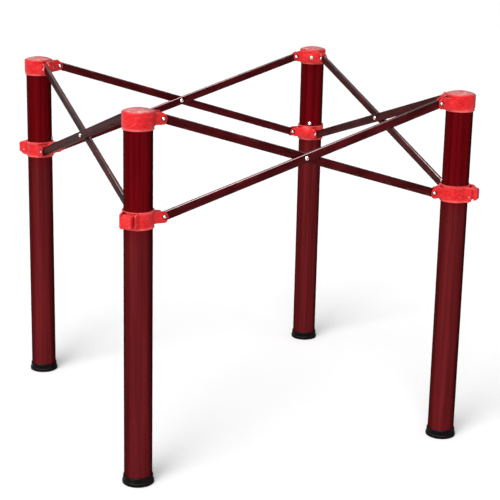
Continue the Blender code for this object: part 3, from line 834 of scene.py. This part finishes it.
def red_plastic():
    """Coral red moulded plastic: flow marks and a fine spark-eroded grain, with painted shade in
    its recesses, in the groove round the cap's top and where it turns from the eye, and painted
    highlights along its convex edges and beads and on the cap's domed top."""
    n = Nodes("coral_plastic")
    flow = n.noise(26.0, (1, 1, 1.6), 4.0, 0.6)
    fine = n.noise(150.0, (1, 1, 2.2), 5.0, 0.65)
    colour = n.mix(n.ramp(flow, (0.3, 0.0), (0.75, 1.0)), (0.560, 0.006, 0.008),
                   (0.740, 0.020, 0.024))
    colour = n.mix(n.ramp(fine, (0.48, 0.0), (0.66, 0.7)), colour, (0.360, 0.003, 0.005))
    bleached = n.noise(120.0, (1, 1, 1.5), 6.0, 0.75, (3.1, 1.7, 0.4))
    colour = n.mix(n.ramp(bleached, (0.52, 0.0), (0.70, 0.5)), colour, (0.860, 0.080, 0.085))
    height = n.new("ShaderNodeSeparateXYZ", Vector=n.coords).outputs["Z"]
    crown = n.ramp(height, (0.655, 0.0), (0.662, 1.0))
    # Painted highlight: the cap's domed top turns pale in patches where it faces up.
    painted_dome_highlight = n.maths("MULTIPLY", n.upward(0.80, 0.97), n.ramp(fine, (0.36, 0.25), (0.56, 1.0)))
    painted_dome_highlight = n.maths("MULTIPLY", painted_dome_highlight, crown)
    pale = n.ramp(bleached, (0.36, (0.300, 0.110, 0.110)), (0.64, (0.720, 0.430, 0.420)))
    colour = n.mix(painted_dome_highlight, colour, pale)
    level = n.vector("MULTIPLY", n.coords, (1.0, 1.0, 0.0))
    off_axis = n.vector("LENGTH", level.outputs[0]).outputs["Value"]
    # Painted shade: a dark ring, broken up by the flow noise, in the groove inside the cap's rim.
    groove_shade = n.ramp(off_axis, (0.0238, 0.0), (0.0249, 1.0), (0.0262, 1.0), (0.0272, 0.0))
    groove_shade = n.maths("MULTIPLY", groove_shade, n.ramp(flow, (0.30, 0.35), (0.60, 0.9)))
    groove_shade = n.maths("MULTIPLY", groove_shade, crown)
    colour = n.mix(groove_shade, colour, (0.230, 0.020, 0.022))
    # Painted shade: darker where the surface turns from the eye.
    edge = n.ramp(n.facing(0.4), (0.45, 0.0), (1.0, 1.0))
    colour = n.mix(n.maths("MULTIPLY", edge, 0.7), colour, (0.300, 0.006, 0.009))
    # Painted highlight: pale patches along the convex edges.
    wear_and_highlight = n.maths("MULTIPLY", n.edges(0.0008, 0.80, 0.97),
                   n.ramp(n.noise(120.0, detail=5.0), (0.36, 0.1), (0.60, 1.0)))
    colour = n.mix(n.maths("MULTIPLY", wear_and_highlight, 0.65), colour, (0.900, 0.260, 0.250))
    # Painted highlights: pale bands, broken up by the flow noise, on the collar's top and bottom
    # beads and the cap's bottom bead.
    for low, high in ((COLLAR_LOW, COLLAR_LOW + 0.0016), (COLLAR_HIGH - 0.0016, COLLAR_HIGH),
                      (CAP_LOW, CAP_LOW + 0.0016)):
        bead = n.ramp(height, (low - 0.0006, 0.0), (low, 0.6), (high, 0.6), (high + 0.0006, 0.0))
        bead = n.maths("MULTIPLY", bead, n.ramp(flow, (0.30, 0.4), (0.60, 1.0)))
        colour = n.mix(bead, colour, (0.900, 0.230, 0.220))
    # Painted shade: near black in the piece's own recesses and inner corners.
    colour = n.mix(n.painted_crevice_shade(0.0060, 0.36, 0.88), (0.100, 0.001, 0.002), colour)
    n.bump(0.12, 0.0003, n.noise(900.0, detail=2.0), flow)
    return n.set(
        Base_Color=colour, Roughness=n.ramp(flow, (0.3, 0.34), (0.7, 0.46)),
        Specular_IOR_Level=0.30, Specular_Tint=(1.0, 0.60, 0.60), Subsurface_Weight=0.04,
        Subsurface_Radius=(0.004, 0.001, 0.001),
    )


def black_rubber():
    """Black rubber with a fine grain, a little red dust rubbed off the tube, and scuffed rims."""
    n = Nodes("black_rubber")
    grain = n.noise(500.0, detail=5.0)
    dust = n.ramp(n.noise(85.0, detail=6.0), (0.48, 0.0), (0.72, 1.0))
    colour = n.mix(n.maths("MULTIPLY", dust, 0.5), (0.0012, 0.0011, 0.0012), (0.022, 0.008, 0.007))
    rub = n.maths("MULTIPLY", n.edges(0.0006, 0.84, 0.97),
                  n.ramp(n.noise(70.0, detail=5.0), (0.50, 0.0), (0.60, 1.0)))
    colour = n.mix(n.maths("MULTIPLY", rub, 0.6), colour, (0.160, 0.130, 0.110))
    n.bump(0.25, 0.0004, grain)
    return n.set(
        Base_Color=colour, Roughness=n.ramp(grain, (0.3, 0.40), (0.7, 0.60)),
        Specular_IOR_Level=0.06,
    )


def bright_metal(name, colour, rough, scale):
    """Bare or plated metal: fine marks at a scale, dull stains, and painted shade in its recesses.
    """
    n = Nodes(name)
    marks = n.noise(scale, detail=6.0, roughness=0.7)
    stain = n.ramp(n.noise(scale / 5, detail=4.0), (0.4, 0.0), (0.8, 1.0))
    dull = tuple(c * 0.62 for c in colour)
    colour = n.mix(n.maths("MULTIPLY", stain, 0.6), colour, dull)
    # Painted shade: darker in the piece's own recesses.
    colour = n.mix(n.painted_crevice_shade(0.0014, 0.30, 0.85), (0.020, 0.012, 0.010), colour)
    n.bump(0.08, 0.0002, marks)
    return n.set(
        Base_Color=colour,
        Roughness=n.ramp(marks, (0.3, rough), (0.7, rough + 0.14)), Metallic=1.0,
    )


TUBE_PAINT = tube_enamel()
BRACE_PAINT = brace_enamel("maroon_enamel", (0.024, 0.0008, 0.0012), (0.105, 0.0060, 0.009))
SIDE_PAINT = brace_enamel("greyer_maroon", (0.022, 0.0028, 0.0035), (0.115, 0.024, 0.024))
PLASTIC = red_plastic()
RUBBER = black_rubber()
NICKEL = bright_metal("nickel", (0.80, 0.77, 0.74), 0.22, 700.0)
STEEL = bright_metal("spring_wire", (0.42, 0.41, 0.41), 0.30, 900.0)
YELLOW_ZINC = bright_metal("yellow_zinc", (0.95, 0.86, 0.62), 0.30, 700.0)


# ---------------------------------------------------------------- placing

def place(name, mesh, material, slot, body, matrix, nodes=()):
    """Adds a piece at a place in the frame, riding on a body and standing for CAD nodes."""
    made = bpy.data.objects.new(name, mesh)
    bpy.context.scene.collection.objects.link(made)
    made.matrix_world = matrix
    if not mesh.materials:
        mesh.materials.append(material)
    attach(made, body)
    if nodes:
        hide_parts(*nodes)
    return made


body_of_node = {n: b for b, ns in frame["record"]["behaviour"]["bodies"].items() for n in ns}

for index, corner in enumerate(CORNERS):
    spin = Matrix.Rotation(math.radians(90.0 * index), 4, "Z")
    stand = Matrix.Translation((LEG[corner].x, LEG[corner].y, 0.0)) @ spin
    leg, slider, rocker = "leg_" + corner, "collar_" + corner, "lever_" + corner
    stop_spot = FIXING * (TUBE_R - 0.0009) + Vector((0, 0, middle("stop_rivet_" + corner).z))
    for name, mesh, material, slot, body, local, node in (
        ("enamel_tube_", tube_mesh, TUBE_PAINT, "tube_enamel", leg, None, "leg_tube_"),
        ("moulded_cap_", cap_mesh, PLASTIC, "red_plastic", leg, None, "top_cap_"),
        ("rubber_foot_", foot_mesh, RUBBER, "black_rubber", leg, None, "foot_"),
        ("slide_collar_", collar_mesh, PLASTIC, "red_plastic", slider, None, "collar_"),
        ("thumb_lever_", lever_mesh, PLASTIC, "red_plastic", rocker, None, "release_lever_"),
        ("hinge_pin_", pin_mesh, STEEL, "rivet_metal", slider, None, "lever_pin_"),
        ("return_spring_", spring_mesh, STEEL, "spring_steel", slider, None, "lever_spring_"),
        ("stop_button_", stop_rivet_mesh, NICKEL, "rivet_metal", leg,
         Matrix.Translation(stop_spot) @ FACE_FIXING, "stop_rivet_"),
        ("cap_screw_", screw_mesh, YELLOW_ZINC, "rivet_metal", leg,
         Matrix.Translation(SCREW_SEAT) @ FACE_FIXING, None),
    ):
        at = stand if local is None else stand @ local
        made = place(
            name + corner, mesh, material, slot, body, at, [node + corner] if node else (),
        )
        if mesh is spring_mesh:
            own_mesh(made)

for index, side in enumerate(SIDES):
    spin = Matrix.Rotation(math.radians(90.0 * index), 4, "Z")
    centre = middle("cross_rivet_" + side)
    for slope, plane, tilt in (("rising", -PLANE, -SLOPE), ("falling", PLANE, SLOPE)):
        node = "brace_%s_%s" % (side, slope)
        at = Matrix.Translation(centre) @ spin @ Matrix.Translation((0, plane, 0))
        at = at @ Matrix.Rotation(tilt, 4, "Y")
        # The left and right braces take the greyer copy of the brace paint.
        on_side = side in ("left", "right")
        place("brace_tube_%s_%s" % (side, slope), side_brace_mesh if on_side else brace_mesh,
              SIDE_PAINT if on_side else BRACE_PAINT, "brace_enamel", body_of_node[node], at,
              [node])
    rivets = [("cross_rivet_" + side, cross_rivet_mesh)]
    for end in ("cap_rivet_%s_a", "cap_rivet_%s_b", "collar_rivet_%s_a", "collar_rivet_%s_b"):
        rivets.append((end % side, end_rivet_mesh))
    for node, mesh in rivets:
        at = Matrix.Translation(middle(node)) @ spin @ UPRIGHT
        place("pop_" + node, mesh, NICKEL, "rivet_metal", body_of_node[node], at, [node])


# ---------------------------------------------------------------- floor, light and camera

def floor():
    """A plain white floor to the camera. In reflections only, its colour falls off into the
    dark on one side by the ray's direction, which gives the tubes their dark right edge."""
    bm = bmesh.new()
    bmesh.ops.create_grid(bm, x_segments=1, y_segments=1, size=30.0)
    mesh = solid(bm, "floor")
    n = Nodes("pale_floor")
    seen = n.new("ShaderNodeNewGeometry")
    n.coords = seen.outputs["Position"]
    white = n.mix(n.noise(3.0), (0.90, 0.90, 0.90), (0.93, 0.93, 0.93))
    level = n.vector("MULTIPLY", seen.outputs["Incoming"], (1.0, 1.0, 0.0))
    aim = n.vector("NORMALIZE", level.outputs[0])
    across = n.vector("DOT_PRODUCT", aim.outputs[0], Vector((0.857, 0.509, 0.0)).normalized())
    half = n.maths("ADD", n.maths("MULTIPLY", across.outputs["Value"], 0.5), 0.5)
    mirrored = n.ramp(half, (0.0, 0.16), (0.09, 0.56), (0.30, 0.76), (0.85, 0.82), (1.0, 1.0))
    glossy = n.new("ShaderNodeLightPath").outputs["Is Glossy Ray"]
    n.set(Base_Color=n.mix(glossy, white, mirrored), Roughness=0.7, Specular_IOR_Level=0.0)
    mesh.materials.append(n.material)
    made = bpy.data.objects.new("floor", mesh)
    bpy.context.scene.collection.objects.link(made)
    made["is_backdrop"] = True


def area(name, spot, target, width, height, power):
    """An area light at a spot, aimed at a target."""
    data = bpy.data.lights.new(name, "AREA")
    data.shape = "RECTANGLE"
    data.size, data.size_y = width, height
    data.energy = power
    made = bpy.data.objects.new(name, data)
    made.location = spot
    made.rotation_euler = (Vector(target) - Vector(spot)).to_track_quat("-Z", "Y").to_euler()
    bpy.context.scene.collection.objects.link(made)


def studio():
    """White behind the object, an even sky that lights it from the upper left, and, for
    reflections only, a bright panel overhead that picks out its rounded upper edges."""
    sky_low, sky_range, panel_strength = 0.16, 0.62, 12.0
    world = bpy.data.worlds.new("studio")
    world.use_nodes = True
    bpy.context.scene.world = world
    tree = world.node_tree

    def new(kind, *sources, **settings):
        """A world node's first output, with its inputs linked or set in order."""
        node = tree.nodes.new(kind)
        for key, value in settings.items():
            setattr(node, key, value)
        for socket, source in zip(node.inputs, sources):
            if isinstance(source, bpy.types.NodeSocket):
                tree.links.new(source, socket)
            elif source is not None:
                socket.default_value = source
        return node.outputs[0]

    def towards(direction, low, high):
        """0 to 1 as the ray's dot product with a direction goes from low to high."""
        vector = tree.nodes.new("ShaderNodeVectorMath")
        vector.operation = "DOT_PRODUCT"
        vector.inputs[1].default_value = Vector(direction).normalized()
        tree.links.new(ray, vector.inputs[0])
        return new("ShaderNodeMapRange", vector.outputs["Value"], low, high, 0.0, 1.0)

    def maths(operation, a, b):
        """One Math node."""
        return new("ShaderNodeMath", a, b, operation=operation)

    ray = tree.nodes.new("ShaderNodeTexCoord").outputs["Generated"]
    path = tree.nodes.new("ShaderNodeLightPath")
    upper_left = towards((-0.62, -0.45, 0.64), -1.0, 1.0)
    sky = maths("ADD", maths("MULTIPLY", upper_left, sky_range), sky_low)
    panel = maths("MULTIPLY", towards((-0.25, -0.15, 0.95), 0.80, 0.92), panel_strength)
    panel = maths("MULTIPLY", panel, path.outputs["Is Glossy Ray"])
    backdrop = new("ShaderNodeBackground", (1.0, 1.0, 1.0, 1.0), 1.0)
    light = new("ShaderNodeBackground", (1.0, 1.0, 1.0, 1.0), maths("ADD", sky, panel))
    mix = tree.nodes.new("ShaderNodeMixShader")
    for socket, source in zip(mix.inputs, (path.outputs["Is Camera Ray"], light, backdrop)):
        tree.links.new(source, socket)
    tree.links.new(mix.outputs[0], tree.nodes["World Output"].inputs["Surface"])
    data = bpy.data.lights.new("soft_sun", "SUN")
    data.energy = 2.0
    data.angle = math.radians(40.0)
    made = bpy.data.objects.new("soft_sun", data)
    made.rotation_euler = Vector((0.60, 0.55, -1.15)).to_track_quat("-Z", "Y").to_euler()
    bpy.context.scene.collection.objects.link(made)
    area("key", (-2.6, -2.4, 2.2), (0, 0, 0.35), 1.2, 1.6, 28.0)


def camera():
    """A long lens at the front left, above the caps, looking down at the stand. Its place,
    angles and lens are the rounded result of a least-squares fit to the photograph's view."""
    yaw, pitch, roll = math.radians(23.65), math.radians(15.58), math.radians(1.24)
    ahead = Vector(
        (math.sin(yaw) * math.cos(pitch), math.cos(yaw) * math.cos(pitch), -math.sin(pitch))
    )
    level = Vector((math.cos(yaw), -math.sin(yaw), 0.0))
    lift = level.cross(ahead)
    right = level * math.cos(roll) + lift * math.sin(roll)
    up = lift * math.cos(roll) - level * math.sin(roll)
    data = bpy.data.cameras.new("camera")
    data.sensor_width = 36.0
    data.lens = 104.1
    data.clip_end = 100.0
    made = bpy.data.objects.new("camera", data)
    turn = Matrix((right, up, -ahead)).transposed().to_4x4()
    made.matrix_world = Matrix.Translation((-1.0826, -2.5483, 1.0894)) @ turn
    bpy.context.scene.collection.objects.link(made)
    bpy.context.scene.camera = made


floor()
studio()
camera()
bpy.context.scene.view_settings.view_transform = "Standard"

low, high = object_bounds()
